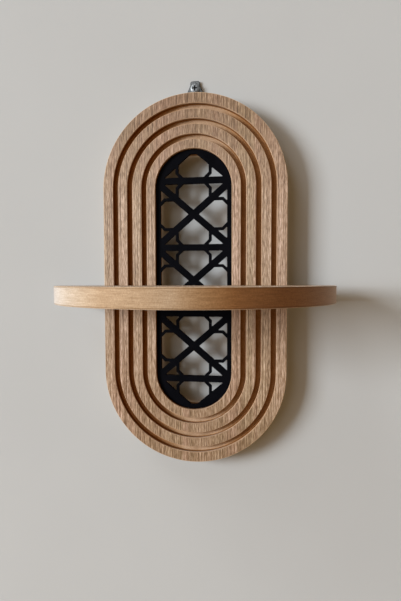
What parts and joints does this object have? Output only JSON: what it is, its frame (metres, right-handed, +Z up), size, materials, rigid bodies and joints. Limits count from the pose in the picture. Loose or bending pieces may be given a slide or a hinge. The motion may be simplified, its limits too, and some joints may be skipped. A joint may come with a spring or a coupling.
{
  "type": "wall shelf",
  "caption": "Wall shelf: a grooved stadium-shaped wooden panel with a black cane-pattern grille in its opening and a half-round shelf board, hung from a steel plate.",
  "frame": {"origin": "the point where the axis of the wall screw enters the wall", "axes": "+X to the right as seen from the room, +Y into the wall, +Z up; the wall is the plane y = 0 and the shelf projects towards -Y"},
  "size_m": [0.3, 0.1901, 0.4199],
  "materials": {
    "panel_wood": "matt oak-like veneer on fibreboard, with bare fibreboard in the grooves",
    "shelf_wood": "matt oak-like veneer faces with a sanded fibreboard edge",
    "black_paint": "matt black paint on thin cut board",
    "zinc": "satin zinc plating"
  },
  "bodies": {
    "root": {"back_panel": "panel_wood", "lattice_insert": "black_paint", "shelf_board": "shelf_wood", "shelf_screw_1": "zinc", "shelf_screw_2": "zinc", "shelf_screw_3": "zinc", "shelf_screw_4": "zinc", "hanger_plate": "zinc", "hanger_screw_left": "zinc", "hanger_screw_right": "zinc", "wall_screw": "zinc"}
  },
  "joints": []
}
